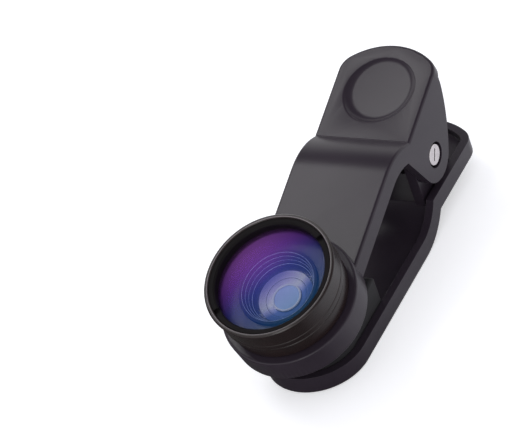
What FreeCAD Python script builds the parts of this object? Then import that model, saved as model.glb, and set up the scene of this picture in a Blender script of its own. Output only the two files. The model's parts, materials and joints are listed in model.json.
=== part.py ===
"""Clip-on lens for a phone camera: a spring clip whose front jaw carries a screwed-on wide-angle head.

The frame: +Z is up and the clip lies on the flat outer face of its rear jaw. X runs along the pivot
pin, and Y from the jaws to the thumb plates. The origin is the point of that resting face which lies
opposite the middle of the lens ring when the two arms are parallel. The clip is closed on its pads.

Each arm is drawn in a frame of its own: x along the pin, y from the middle of the jaw to the thumb
plate, z out of the jaw plate's outer face. Pieces of the lens use the front arm's frame, so their z
is the height along the optical axis.
"""
import FreeCAD, Part
import math
import operator
import os
from types import SimpleNamespace

import Sketcher
from FreeCAD import Placement, Rotation, Vector

# Driving sizes, in millimetres, degrees and turns
SIZES = {
    # Arms
    "arm_width": 20.0,
    "plate_thickness": 2.2,
    "side_wall": 1.6,
    "wall_depth": 3.7,
    "front_tip_depth": 1.9,
    "pivot_distance": 40.4,
    "pivot_depth": 14.2,
    "thumb_step": 3.9,
    "shoulder_start": 27.5,
    "shoulder_radius": 13.0,
    "crease_radius": 0.5,
    "thumb_end": 57.5,
    "thumb_end_radius": 14.0,
    "thumb_corner_radius": 4.0,
    "arm_edge_radius": 0.55,
    "dish_distance": 48.1,
    "dish_floor_radius": 5.6,
    "dish_wall_curve": 2.2,
    "dish_wall_slope": 50.0,
    "dish_rim_radius": 0.5,
    "dish_depth": 1.2,
    "dish_tilt": 4.0,
    # Ears and hubs
    "ear_thickness": 2.0,
    "ear_radius": 5.3,
    "ear_root_distance": 33.4,
    "ear_tip_distance": 52.6,
    "ear_back_radius": 32.0,
    "inner_ear_thickness": 2.1,
    "inner_ear_radius": 5.0,
    "inner_ear_flare": 2.5,
    "hub_radius": 2.6,
    "hub_length": 2.4,
    # Pivot pin
    "pin_radius": 1.5,
    "pin_head_radius": 2.2,
    "pin_head_height": 0.8,
    "head_recess_radius": 2.5,
    "head_recess_depth": 0.95,
    "head_mark_length": 2.4,
    "head_mark_width": 0.35,
    "head_mark_depth": 0.2,
    "head_mark_angle": 146.0,
    "pin_seat_clearance": 0.02,
    "pin_running_clearance": 0.06,
    "pin_end_chamfer": 0.25,
    "ear_side_clearance": 0.3,
    # Torsion spring
    "wire_radius": 0.55,
    "coil_radius": 3.5,
    "coil_pitch": 1.2,
    "coil_side_room": 1.5,
    "leg_reach": 12.5,
    "leg_clearance": 0.1,
    # Lens ring of the front jaw
    "ring_radius": 13.2,
    "ring_collar": 1.65,
    "ring_depth": 3.8,
    "ring_edge_radius": 0.5,
    "light_hole_radius": 6.8,
    "insert_radius": 10.0,
    "insert_seat": 2.8,
    "insert_recess": 0.25,
    "press_clearance": 0.02,
    # Jaw pads
    "front_pad_radius": 11.2,
    "front_pad_thickness": 2.0,
    "front_pad_edge": 0.4,
    "rear_pad_thickness": 5.0,
    "rear_pad_wedge": 6.0,
    "rear_pad_length": 12.0,
    "rear_pad_clearance": 0.2,
    "rear_pad_edge": 0.6,
    "pad_contact_gap": 0.1,
    # Base of the lens, which carries the close-up element
    "base_radius": 11.8,
    "base_height": 3.15,
    "base_chamfer": 0.3,
    "base_thread_radius": 8.6,
    "base_thread_length": 4.3,
    "base_socket_radius": 9.3,
    "base_socket_depth": 2.5,
    "aperture_radius": 3.7,
    "aperture_lip": 0.6,
    "thread_clearance": 0.1,
    "seat_gap": 0.05,
    "macro_radius": 6.6,
    "macro_edge": 1.1,
    "macro_front_curve": 16.0,
    "macro_back_curve": 40.0,
    "macro_ring_width": 1.0,
    "macro_ring_height": 1.0,
    # Wide-angle head
    "head_radius": 12.2,
    "head_height": 5.7,
    "head_step": 0.45,
    "rim_radius": 12.5,
    "rim_height": 0.8,
    "rim_chamfer": 0.25,
    "head_bore_radius": 11.7,
    "head_seat_height": 1.0,
    "head_thread_length": 2.4,
    "head_throat_radius": 7.6,
    "head_lip": 0.45,
    "head_lip_width": 1.0,
    "element_clearance": 0.05,
    "front_glass_height": 4.05,
    "front_glass_front_curve": 40.0,
    "front_glass_back_curve": 11.0,
    "front_glass_back_radius": 8.0,
    "front_ring_width": 1.1,
    "front_ring_sink": 0.3,
    "front_ring_bevel": 0.3,
    "notch_width": 1.6,
    "notch_depth": 0.7,
    "notch_angle": 47.0,
    "rear_glass_edge": 0.8,
    "rear_glass_front_curve": 22.0,
    "baffle_thickness": 0.3,
    "baffle_width": 1.6,
    "spacer_width": 0.6,
    "spacer_step": 0.35,
}

SHEET = "Sizes"
SIDE_VIEW = Rotation(Vector(1, 1, 1), 120)
FRONT_VIEW = Rotation(Vector(1, 0, 0), 90)
PLAN_VIEW = Rotation()
AXIS_DIRECTION = Vector(0, 0, 1)


class Measure:
    """A size that holds its number and the sheet formula that gives it."""

    def __init__(self, number, formula):
        self.number = number
        self.formula = formula

    def joined(self, other, sign, operation, swapped=False):
        """Returns this size joined to another, or to a plain number, by one operation."""
        first, second = as_measure(self), as_measure(other)
        if swapped:
            first, second = second, first
        number = operation(first.number, second.number)
        return Measure(number, f"({first.formula} {sign} {second.formula})")

    def __add__(self, other):
        return self.joined(other, "+", operator.add)

    def __radd__(self, other):
        return self.joined(other, "+", operator.add, True)

    def __sub__(self, other):
        return self.joined(other, "-", operator.sub)

    def __rsub__(self, other):
        return self.joined(other, "-", operator.sub, True)

    def __mul__(self, other):
        return self.joined(other, "*", operator.mul)

    def __rmul__(self, other):
        return self.joined(other, "*", operator.mul, True)

    def __truediv__(self, other):
        return self.joined(other, "/", operator.truediv)

    def __neg__(self):
        return Measure(-self.number, f"(-1 * {self.formula})")


def as_measure(value):
    """Returns a size as it is, and a plain number as a size with no cell behind it."""
    if isinstance(value, Measure):
        return value
    return Measure(float(value), repr(float(value)))


def root(value):
    """Returns the square root of a size."""
    return Measure(math.sqrt(value.number), f"sqrt({value.formula})")


def leg(hypotenuse, side):
    """Returns the other short side of a right triangle."""
    return root(hypotenuse * hypotenuse - side * side)


def sine(angle):
    """Returns the sine of an angle in degrees."""
    return Measure(math.sin(math.radians(angle.number)), f"sin({angle.formula})")


def cosine(angle):
    """Returns the cosine of an angle in degrees."""
    return Measure(math.cos(math.radians(angle.number)), f"cos({angle.formula})")


def make_sheet(doc):
    """Writes the driving sizes to the spreadsheet and returns them by name."""
    sheet = doc.addObject("Spreadsheet::Sheet", SHEET)
    for row, (alias, value) in enumerate(SIZES.items(), start=1):
        sheet.set(f"A{row}", alias.replace("_", " "))
        sheet.set(f"B{row}", str(value))
        sheet.setAlias(f"B{row}", alias)
    doc.recompute()
    return SimpleNamespace(**{alias: Measure(value, f"{SHEET}.{alias}") for alias, value in SIZES.items()})


def bind(thing, **sizes):
    """Binds properties of an object to sheet formulas."""
    for name, value in sizes.items():
        measure = as_measure(value)
        setattr(thing, name, measure.number)
        thing.setExpression(name, measure.formula)


def arc_between(start, end, radius):
    """Returns the short arc from start to end; a positive radius turns left, a negative one right."""
    chord = end - start
    middle = (start + end) / 2
    left = Vector(-chord.y, chord.x, 0).normalize()
    height = math.sqrt(max(radius * radius - chord.Length ** 2 / 4, 0.0))
    centre = middle + left * math.copysign(height, radius)
    first, last = (start, end) if radius > 0 else (end, start)
    angles = [math.atan2(point.y - centre.y, point.x - centre.x) for point in (first, last)]
    return Part.ArcOfCircle(Part.Circle(centre, AXIS_DIRECTION, abs(radius)), *angles)


def draw(sketch, corners):
    """Draws a closed outline in a sketch and ties every corner and radius to the sheet.

    Each corner is (x, y), or (x, y, radius) where an arc leads to it from the corner before.
    """
    points = [Vector(as_measure(corner[0]).number, as_measure(corner[1]).number, 0) for corner in corners]
    ends = []
    for index, corner in enumerate(corners):
        start, end = points[index - 1], points[index]
        if len(corner) == 2:
            ends.append((sketch.addGeometry(Part.LineSegment(start, end)), 1, 2))
            continue
        radius = corner[2]
        turns_left = radius.number > 0
        edge = sketch.addGeometry(arc_between(start, end, radius.number))
        ends.append((edge, 1, 2) if turns_left else (edge, 2, 1))
        size = radius if turns_left else -radius
        tie(sketch, ("Radius", edge), size)
    for index, corner in enumerate(corners):
        edge, _, last = ends[index]
        following, first, _ = ends[(index + 1) % len(ends)]
        sketch.addConstraint(Sketcher.Constraint("Coincident", edge, last, following, first))
        tie(sketch, ("DistanceX", -1, 1, edge, last), corner[0])
        tie(sketch, ("DistanceY", -1, 1, edge, last), corner[1])


def tie(sketch, constraint, value):
    """Adds a dimension to a sketch and binds it to its sheet formula."""
    measure = as_measure(value)
    index = sketch.addConstraint(Sketcher.Constraint(*constraint, measure.number))
    if SHEET in measure.formula:
        sketch.setExpression(f"Constraints[{index}]", measure.formula)


def outline(doc, name, view, corners):
    """Makes a sketch that stands by itself, seen from the side, the front or above."""
    sketch = doc.addObject("Sketcher::SketchObject", name)
    sketch.Placement = Placement(Vector(), view)
    draw(sketch, corners)
    return sketch


def extruded(doc, name, sketch, direction, length):
    """Extrudes a sketch by the same amount to both sides."""
    solid = doc.addObject("Part::Extrusion", name)
    solid.Base = sketch
    solid.DirMode = "Custom"
    solid.Dir = direction
    solid.Solid = True
    solid.Symmetric = True
    bind(solid, LengthFwd=length)
    return solid


def revolved(doc, name, corners):
    """Turns an outline of (radius, height) corners about the z axis."""
    solid = doc.addObject("Part::Revolution", name)
    solid.Source = outline(doc, f"{name}_outline", FRONT_VIEW, corners)
    solid.Axis = AXIS_DIRECTION
    solid.Base = Vector()
    solid.Angle = 360
    solid.Solid = True
    return solid


def joined(doc, name, pieces):
    """Fuses pieces into one solid."""
    fusion = doc.addObject("Part::MultiFuse", name)
    fusion.Shapes = pieces
    fusion.Refine = True
    return fusion


def common(doc, name, first, second):
    """Keeps what two solids share."""
    shared = doc.addObject("Part::Common", name)
    shared.Base = first
    shared.Tool = second
    return shared


def cut(doc, name, base, tools):
    """Cuts tools out of a solid."""
    tool = tools[0] if len(tools) == 1 else joined(doc, f"{name}_tools", tools)
    rest = doc.addObject("Part::Cut", name)
    rest.Base = base
    rest.Tool = tool
    rest.Refine = True
    return rest


def rounded(doc, name, base, radius, chosen):
    """Rounds the edges of a solid that a test chooses."""
    doc.recompute()
    numbers = [number for number, edge in enumerate(base.Shape.Edges, start=1) if chosen(edge)]
    fillet = doc.addObject("Part::Fillet", name)
    fillet.Base = base
    fillet.Edges = [(number, radius.number, radius.number) for number in numbers]
    return fillet


def block(doc, name, low, high):
    """Makes a box between two corners."""
    box = doc.addObject("Part::Box", name)
    bind(box, Length=high[0] - low[0], Width=high[1] - low[1], Height=high[2] - low[2])
    place(box, *low)
    return box


def cross_cylinder(doc, name, radius, length, x, y, z):
    """Makes a cylinder along x, which starts at a point."""
    cylinder = doc.addObject("Part::Cylinder", name)
    bind(cylinder, Radius=radius, Height=length)
    cylinder.Placement = Placement(Vector(), Rotation(Vector(0, 1, 0), 90))
    place(cylinder, x, y, z)
    return cylinder


def place(thing, x, y, z):
    """Binds the place of an object to the sheet."""
    for axis, value in zip("xyz", (x, y, z)):
        measure = as_measure(value)
        thing.setExpression(f"Placement.Base.{axis}", measure.formula)


def middle_of(edge):
    """Returns the point half-way along an edge."""
    return edge.valueAt((edge.FirstParameter + edge.LastParameter) / 2)


def runs_across(edge):
    """Tells whether an edge is a straight line along x."""
    if edge.Curve.TypeId != "Part::GeomLine":
        return False
    return abs(edge.tangentAt(edge.FirstParameter).x) > 0.999


def skin_height(size, y):
    """Returns the height of an arm's outer face at a distance y from the jaw's middle."""
    if y <= size.shoulder_start.number:
        return 0.0
    shoulder = size.shoulder_radius.number
    across = y - size.shoulder_start.number
    on_shoulder = math.sqrt(max(shoulder ** 2 - across ** 2, 0.0)) - shoulder
    return max(on_shoulder, -size.thumb_step.number)


def shoulder_corners(size, depth, jaw_end, thumb_end, tip_depth):
    """Returns the side view of a line at a depth below an arm's outer face, from jaw to thumb."""
    radius = size.shoulder_radius - depth
    foot = size.shoulder_start + leg(radius, radius - size.thumb_step)
    return [
        (jaw_end, -depth),
        (size.shoulder_start, -depth),
        (foot, -size.thumb_step - depth, -radius),
        (thumb_end, -size.thumb_step - tip_depth),
    ]


def outer_skin_corners(size, jaw_end, thumb_end):
    """Returns the side view of an arm's outer face, with the crease at the thumb plate rounded."""
    radius, crease = size.shoulder_radius, size.crease_radius
    reach = radius + crease
    rise = radius - size.thumb_step + crease
    run = leg(reach, rise)
    return [
        (jaw_end, as_measure(0)),
        (size.shoulder_start, as_measure(0)),
        (size.shoulder_start + radius * run / reach, radius * rise / reach - radius, -radius),
        (size.shoulder_start + run, -size.thumb_step, crease),
        (thumb_end, -size.thumb_step),
    ]


def plan_corners(size, inset, round_jaw):
    """Returns the plan of an arm, or of its hollow when inset, with a round or a square jaw end."""
    half = size.arm_width / 2 - inset
    corner = size.thumb_corner_radius - inset
    tip = size.thumb_end_radius - inset
    tip_centre = size.thumb_end - size.thumb_end_radius
    across = size.arm_width / 2 - size.thumb_corner_radius
    reach = size.thumb_end_radius - size.thumb_corner_radius
    corner_centre = tip_centre + leg(reach, across)
    touch_x = across * tip / reach
    touch_y = tip_centre + (corner_centre - tip_centre) * tip / reach
    zero = as_measure(0)
    sides = [
        (half, corner_centre),
        (touch_x, touch_y, corner),
        (-touch_x, touch_y, tip),
        (-half, corner_centre, corner),
        (-half, zero),
    ]
    if round_jaw:
        return [(half, zero, half)] + sides + [(zero, -half, half)]
    return [(half, zero)] + sides


def arm_shell(doc, size, name, round_jaw, tip_depth):
    """Makes the hollow tray that both arms share: plate, shoulder, thumb plate and side walls."""
    over = size.thumb_end
    under = -size.arm_width
    deep = -2 * size.pivot_depth
    skin = outer_skin_corners(size, under, over)
    edge = shoulder_corners(size, size.wall_depth, under, over, tip_depth)
    side = outline(doc, f"{name}_side", SIDE_VIEW, skin + edge[-1:] + reversed_run(edge))
    plan = outline(doc, f"{name}_plan", PLAN_VIEW, plan_corners(size, as_measure(0), round_jaw))
    across, upright = Vector(1, 0, 0), Vector(0, 0, 1)
    whole = common(
        doc,
        f"{name}_block",
        extruded(doc, f"{name}_side_block", side, across, size.arm_width),
        extruded(doc, f"{name}_plan_block", plan, upright, -deep),
    )

    def on_front_rim(candidate):
        """Tells whether an edge bounds the outer face."""
        point = middle_of(candidate)
        return abs(point.z - skin_height(size, point.y)) < 0.15 and not runs_across(candidate)

    soft = rounded(doc, f"{name}_rounded", whole, size.arm_edge_radius, on_front_rim)
    floor = shoulder_corners(size, size.plate_thickness, under, over, size.plate_thickness)
    core_side = outline(doc, f"{name}_core_side", SIDE_VIEW, floor + [(over, deep), (under, deep)])
    hollow = plan_corners(size, size.side_wall, round_jaw)
    core_plan = outline(doc, f"{name}_core_plan", PLAN_VIEW, hollow)
    core = common(
        doc,
        f"{name}_core",
        extruded(doc, f"{name}_core_side_block", core_side, across, size.arm_width),
        extruded(doc, f"{name}_core_plan_block", core_plan, upright, -2 * deep),
    )
    return cut(doc, f"{name}_shell", soft, [core])


def reversed_run(corners):
    """Returns the corners of an open run after its last, walked backwards with arcs turned round."""
    back = []
    for index in range(len(corners) - 2, -1, -1):
        arc_after = corners[index + 1][2:]
        back.append(corners[index][:2] + tuple(-radius for radius in arc_after))
    return back


def thumb_dish(doc, size, name):
    """Makes the tool for the round hollow in a thumb plate, deepest towards the shoulder."""
    floor, curve, slope = size.dish_floor_radius, size.dish_wall_curve, size.dish_wall_slope
    bend_radius, bend_height = floor + curve * sine(slope), curve - curve * cosine(slope)
    high = size.thumb_step
    flare = (high - bend_height) * cosine(slope) / sine(slope)
    zero = as_measure(0)
    dish = revolved(doc, f"{name}_dish", [
        (zero, zero),
        (floor, zero),
        (bend_radius, bend_height, curve),
        (bend_radius + flare, high),
        (zero, high),
    ])
    dish.Placement = Placement(Vector(), Rotation(Vector(1, 0, 0), size.dish_tilt.number))
    dish.setExpression("Placement.Rotation.Angle", size.dish_tilt.formula)
    sunk = size.dish_depth - (floor + curve) * sine(size.dish_tilt)
    place(dish, zero, size.dish_distance, -size.thumb_step - sunk)
    return dish


def dish_softened(doc, size, name, sharp):
    """Rounds the rim of the hollow in an arm's thumb plate."""
    widest = size.dish_floor_radius.number + size.dish_wall_curve.number

    def is_dish_rim(candidate):
        """Tells whether an edge is where the hollow breaks the outer face."""
        point = middle_of(candidate)
        reach = math.hypot(point.x, point.y - size.dish_distance.number)
        return abs(point.z + size.thumb_step.number) < 0.001 and reach < widest

    return rounded(doc, name, sharp, size.dish_rim_radius, is_dish_rim)


def front_ears(doc, size):
    """Makes the two outer ears of the front arm, which hold the pivot pin's ends."""
    pin_y, pin_z = size.pivot_distance, -size.pivot_depth
    root_y, root_z = size.ear_root_distance, -size.thumb_step - size.plate_thickness / 2
    lobe, back = size.ear_radius, size.ear_back_radius
    tip_y, tip_z = size.ear_tip_distance, -size.thumb_step - size.front_tip_depth
    front_touch = tangent_touch(pin_y, pin_z, lobe, root_y, root_z)
    back_touch = internal_touch(pin_y, pin_z, lobe, back, tip_y, tip_z)
    low = (pin_y, pin_z - lobe, lobe)
    corners = [
        (root_y, root_z),
        front_touch,
        low,
        (*back_touch, lobe),
        (tip_y, tip_z, back),
        (tip_y, root_z),
    ]
    sketch = outline(doc, "front_ear_side", SIDE_VIEW, corners)
    slab = extruded(doc, "front_ear_slab", sketch, Vector(1, 0, 0), size.arm_width)
    column = extruded(doc, "front_ear_column", doc.front_plan, Vector(0, 0, 1), 4 * size.pivot_depth)
    blank = common(doc, "front_ear_blank", slab, column)
    inner = size.arm_width / 2 - size.ear_thickness
    between = block(
        doc,
        "front_ear_gap",
        (-inner, root_y - size.pivot_depth, -2 * size.pivot_depth),
        (inner, size.thumb_end + size.pivot_depth, as_measure(0)),
    )
    return cut(doc, "front_ears", blank, [between])


def tangent_touch(centre_y, centre_z, radius, y, z):
    """Returns where a straight edge from a point touches the jaw side of a round lobe."""
    across, up = y - centre_y, z - centre_z
    square = across * across + up * up
    reach = root(square - radius * radius)
    touch_y = centre_y + (radius * radius * across - radius * reach * up) / square
    touch_z = centre_z + (radius * radius * up + radius * reach * across) / square
    return touch_y, touch_z


def internal_touch(centre_y, centre_z, small, large, y, z):
    """Returns where a large arc that ends at a point runs smoothly into a small lobe inside it."""
    reach = large - small
    across, up = y - centre_y, z - centre_z
    square = across * across + up * up
    along = (square + reach * reach - large * large) / (2 * square)
    aside = root((reach * reach) / square - along * along)
    middle_y = across * along - up * aside
    middle_z = up * along + across * aside
    return centre_y - middle_y * small / reach, centre_z - middle_z * small / reach


def rear_ears(doc, size):
    """Makes the two inner ears of the rear arm and the hubs that hold the spring's coil."""
    pin_y, pin_z = size.pivot_distance, -size.pivot_depth
    radius = size.inner_ear_radius
    foot_z = -size.thumb_step - size.plate_thickness / 2
    corners = [
        (pin_y - radius, foot_z),
        (pin_y - radius, pin_z),
        (pin_y, pin_z - radius, radius),
        (pin_y + radius, pin_z, radius),
        (pin_y + radius + size.inner_ear_flare, foot_z),
    ]
    sketch = outline(doc, "rear_ear_side", SIDE_VIEW, corners)
    outer = inner_ear_outer(size)
    inner = outer - size.inner_ear_thickness
    blank = extruded(doc, "rear_ear_blank", sketch, Vector(1, 0, 0), 2 * outer)
    hub = cross_cylinder(doc, "rear_hub_blank", size.hub_radius, 2 * outer, -outer, pin_y, pin_z)
    between = block(
        doc,
        "rear_ear_gap",
        (-inner, pin_y - size.pivot_depth, -2 * size.pivot_depth),
        (inner, size.thumb_end, as_measure(0)),
    )
    hub_inner = inner - size.hub_length
    hub_gap = block(
        doc,
        "rear_hub_gap",
        (-hub_inner, pin_y - radius, pin_z - radius),
        (hub_inner, pin_y + radius, pin_z + radius),
    )
    ears = cut(doc, "rear_ears", blank, [between])
    hubs = cut(doc, "rear_hubs", hub, [hub_gap])
    return joined(doc, "rear_ears_and_hubs", [ears, hubs])


def inner_ear_outer(size):
    """Returns how far from the middle the outer faces of the inner ears lie."""
    return size.arm_width / 2 - size.ear_thickness - size.ear_side_clearance


def front_arm(doc, size):
    """Makes the front arm: thumb plate, jaw plate, outer ears and the ring that takes the lens."""
    shell = arm_shell(doc, size, "front", False, size.front_tip_depth)
    radius, edge = size.ring_radius, size.ring_edge_radius
    top, bottom = size.ring_collar, -size.ring_depth
    ring = revolved(doc, "front_ring", [
        (as_measure(0), bottom),
        (radius - edge, bottom),
        (radius, bottom + edge, edge),
        (radius, top - edge),
        (radius - edge, top, edge),
        (as_measure(0), top),
    ])
    seat = -size.insert_seat
    bore = size.insert_radius + size.press_clearance
    opening = revolved(doc, "front_ring_bore", [
        (as_measure(0), 2 * bottom),
        (size.light_hole_radius, 2 * bottom),
        (size.light_hole_radius, seat),
        (bore, seat),
        (bore, 2 * top),
        (as_measure(0), 2 * top),
    ])
    half = size.arm_width / 2
    pin_y, pin_z = size.pivot_distance, -size.pivot_depth
    pin_seat = size.pin_radius + size.pin_seat_clearance
    pin_hole = cross_cylinder(doc, "front_pin_hole", pin_seat, size.arm_width, -half, pin_y, pin_z)
    recess = size.head_recess_depth
    head_recess = cross_cylinder(
        doc, "front_head_recess", size.head_recess_radius, recess, half - recess, pin_y, pin_z
    )
    solid = joined(doc, "front_solid", [shell, front_ears(doc, size), ring])
    tools = [opening, pin_hole, head_recess, thumb_dish(doc, size, "front")]
    return dish_softened(doc, size, "front_arm", cut(doc, "front_arm_cut", solid, tools))


def rear_arm(doc, size):
    """Makes the rear arm: thumb plate, jaw plate with a rounded end and the inner ears."""
    shell = arm_shell(doc, size, "rear", True, size.wall_depth)
    half = size.arm_width / 2
    pin_y, pin_z = size.pivot_distance, -size.pivot_depth
    pin_bearing = size.pin_radius + size.pin_running_clearance
    pin_hole = cross_cylinder(doc, "rear_pin_hole", pin_bearing, size.arm_width, -half, pin_y, pin_z)
    solid = joined(doc, "rear_solid", [shell, rear_ears(doc, size)])
    sharp = cut(doc, "rear_arm_cut", solid, [pin_hole, thumb_dish(doc, size, "rear")])
    return dish_softened(doc, size, "rear_arm", sharp)


def turned_body(doc, name, corners):
    """Makes a turned piece as a body: an outline of (radius, height) corners about the z axis."""
    body = doc.addObject("PartDesign::Body", name)
    sketch = body.newObject("Sketcher::SketchObject", f"{name}_section")
    plane = next(feature for feature in body.Origin.OriginFeatures if feature.Role == "XZ_Plane")
    sketch.AttachmentSupport = [(plane, "")]
    sketch.MapMode = "FlatFace"
    draw(sketch, corners)
    turning = body.newObject("PartDesign::Revolution", f"{name}_turning")
    turning.Profile = sketch
    turning.ReferenceAxis = (sketch, ["V_Axis"])
    turning.Angle = 360
    body.Tip = turning
    return body


def slot_across(body, name, height, reach, width, angle, depth):
    """Cuts a straight slot across the middle of a turned body, downwards from a height."""
    sketch = body.newObject("Sketcher::SketchObject", f"{name}_outline")
    plane = next(feature for feature in body.Origin.OriginFeatures if feature.Role == "XY_Plane")
    sketch.AttachmentSupport = [(plane, "")]
    sketch.MapMode = "FlatFace"
    sketch.AttachmentOffset = Placement(Vector(), Rotation(AXIS_DIRECTION, angle.number))
    sketch.setExpression("AttachmentOffset.Base.z", height.formula)
    sketch.setExpression("AttachmentOffset.Rotation.Angle", angle.formula)
    half = width / 2
    draw(sketch, [(-reach, -half), (reach, -half), (reach, half), (-reach, half)])
    slot = body.newObject("PartDesign::Pocket", name)
    slot.Profile = sketch
    bind(slot, Length=depth)
    body.Tip = slot
    return body


def pivot_pin(doc, size):
    """Makes the steel pivot pin: a turned head with a peening mark and a plain, bevelled end."""
    half = size.arm_width / 2
    face = half - size.head_recess_depth
    shank, head = size.pin_radius, size.pin_head_radius
    bevel = size.pin_end_chamfer
    top = face + size.pin_head_height
    body = turned_body(doc, "pivot_pin", [
        (as_measure(0), -half),
        (shank - bevel, -half),
        (shank, bevel - half),
        (shank, face + size.seat_gap),
        (head, face + size.seat_gap),
        (head, top - bevel),
        (head - bevel, top),
        (as_measure(0), top),
    ])
    reach, angle = size.head_mark_length / 2, size.head_mark_angle
    return slot_across(body, "head_mark", top, reach, size.head_mark_width, angle, size.head_mark_depth)


def torsion_spring(doc, size, closed_angle):
    """Makes the torsion spring: a close-wound coil on the hubs with a leg under each thumb plate.

    The coil has as many whole turns as there is room for between the inner ears.
    It is drawn about the x axis as seen along the pin: y towards the thumb plates, z up. The wire runs
    in along the lower leg, winds on clockwise, and leaves along the upper leg.
    """
    wire, coil = size.wire_radius.number, size.coil_radius.number
    plate_gap = size.pivot_depth.number - size.thumb_step.number - size.plate_thickness.number
    lift = plate_gap - wire - size.leg_clearance.number
    reach = size.leg_reach.number
    lower_end = Vector(0, reach, -lift)
    upper_end = Rotation(Vector(1, 0, 0), closed_angle).multVec(Vector(0, reach, lift))
    spread = math.acos(coil / lower_end.Length)
    leg_length = math.sqrt(lower_end.Length ** 2 - coil ** 2)
    start = math.atan2(lower_end.z, lower_end.y) - spread
    finish = math.atan2(upper_end.z, upper_end.y) + spread
    pitch, part_turn = size.coil_pitch.number, 1 + (start - finish) / (2 * math.pi)
    half_room = (inner_ear_outer(size) - size.inner_ear_thickness - size.coil_side_room).number
    whole_turns = math.floor(2 * half_room / pitch - part_turn)
    width = (whole_turns + part_turn) * pitch
    helix = Part.makeLongHelix(pitch, width, coil, 0, True)
    windings = Part.Wire(helix.Edges).OrderedEdges
    first, last = windings[0], windings[-1]
    mouth, entry = first.valueAt(first.FirstParameter), first.tangentAt(first.FirstParameter)
    exit_point, leaving = last.valueAt(last.LastParameter), last.tangentAt(last.LastParameter)
    section = Part.Wire(Part.Edge(Part.Circle(mouth, entry, wire)))
    winding = Part.Wire(windings).makePipeShell([section], True, True)
    legs = [
        Part.makeCylinder(wire, leg_length, mouth - entry * leg_length, entry),
        Part.makeCylinder(wire, leg_length, exit_point, leaving),
    ]
    spring = doc.addObject("Part::Feature", "torsion_spring")
    along_pin = Placement(Vector(), SIDE_VIEW)
    turned = Placement(Vector(0, 0, -width / 2), Rotation(AXIS_DIRECTION, math.degrees(start)))
    whole = winding.fuse(legs)
    spring.Shape = whole.transformed(along_pin.multiply(turned).toMatrix(), True)
    return spring


def jaw_pads(doc, size):
    """Makes the rubber ring behind the lens hole and the rubber wedge on the rear jaw."""
    face = -size.ring_depth
    back = face - size.front_pad_thickness
    hole, outer, edge = size.light_hole_radius, size.front_pad_radius, size.front_pad_edge
    front = turned_body(doc, "front_jaw_pad", [
        (hole, back + edge),
        (hole + edge, back, edge),
        (outer - edge, back),
        (outer, back + edge, edge),
        (outer, face),
        (hole, face),
    ])
    floor = -size.plate_thickness
    half = size.arm_width / 2 - size.side_wall - size.rear_pad_clearance
    length = size.rear_pad_length
    thin = floor - size.rear_pad_thickness
    slope = sine(size.rear_pad_wedge) / cosine(size.rear_pad_wedge)
    thick = thin - (half + length) * slope
    side = outline(doc, "rear_pad_side", SIDE_VIEW, [
        (-half, floor),
        (-half, thin),
        (length, thick),
        (length, floor),
    ])
    zero = as_measure(0)
    plan = outline(doc, "rear_pad_plan", PLAN_VIEW, [
        (half, zero, half),
        (half, length),
        (-half, length),
        (-half, zero),
        (zero, -half, half),
    ])
    block_shape = common(
        doc,
        "rear_pad_block",
        extruded(doc, "rear_pad_side_block", side, Vector(1, 0, 0), size.arm_width),
        extruded(doc, "rear_pad_plan_block", plan, Vector(0, 0, 1), 4 * size.pivot_depth),
    )

    def on_grip_rim(candidate):
        """Tells whether an edge bounds the face that grips the phone."""
        low = min(vertex.Point.z for vertex in candidate.Vertexes)
        high = max(vertex.Point.z for vertex in candidate.Vertexes)
        return high < thin.number + 0.01 and high - low < (half + length).number * slope.number + 0.01

    rear = rounded(doc, "rear_jaw_pad", block_shape, size.rear_pad_edge, on_grip_rim)
    return front, rear


def thread_insert(doc, size):
    """Makes the metal ring, pressed into the clip's ring, that the lens screws into."""
    inner = size.base_thread_radius + size.thread_clearance
    top = size.ring_collar - size.insert_recess
    chamfer = size.insert_recess
    return turned_body(doc, "thread_insert", [
        (inner, -size.insert_seat),
        (size.insert_radius, -size.insert_seat),
        (size.insert_radius, top),
        (inner + chamfer, top),
        (inner, top - chamfer),
    ])


def lens_levels(size):
    """Returns the heights along the optical axis at which the lens pieces meet."""
    base_foot = size.ring_collar + size.seat_gap
    base_top = base_foot + size.base_height
    head_foot = base_top + size.seat_gap
    head_top = head_foot + size.head_height
    glass_seat = head_foot + size.head_seat_height
    socket_floor = base_top - size.base_socket_depth
    throat_floor = head_foot - size.head_thread_length + size.head_lip
    return SimpleNamespace(
        base_foot=base_foot,
        base_top=base_top,
        socket_floor=socket_floor,
        macro_seat=socket_floor - size.aperture_lip,
        base_end=base_foot - size.base_thread_length,
        head_foot=head_foot,
        head_top=head_top,
        head_end=head_foot - size.head_thread_length,
        glass_seat=glass_seat,
        throat_floor=throat_floor,
    )


def sag(curve, radius):
    """Returns how far a spherical face of a curve radius falls away at a radius from its middle."""
    return curve - leg(curve, radius)


def base_barrel(doc, size, level):
    """Makes the base's barrel: rear thread, flange, socket for the head and the aperture lip."""
    bore = size.macro_radius + size.element_clearance
    chamfer = size.base_chamfer
    flange, thread, socket = size.base_radius, size.base_thread_radius, size.base_socket_radius
    return turned_body(doc, "base_barrel", [
        (bore, level.base_end),
        (thread - chamfer, level.base_end),
        (thread, level.base_end + chamfer),
        (thread, level.base_foot),
        (flange - chamfer, level.base_foot),
        (flange, level.base_foot + chamfer),
        (flange, level.base_top - chamfer),
        (flange - chamfer, level.base_top),
        (socket, level.base_top),
        (socket, level.socket_floor),
        (size.aperture_radius + size.aperture_lip / 2, level.socket_floor),
        (size.aperture_radius, level.macro_seat + size.aperture_lip / 2),
        (size.aperture_radius, level.macro_seat),
        (bore, level.macro_seat),
    ])


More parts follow.
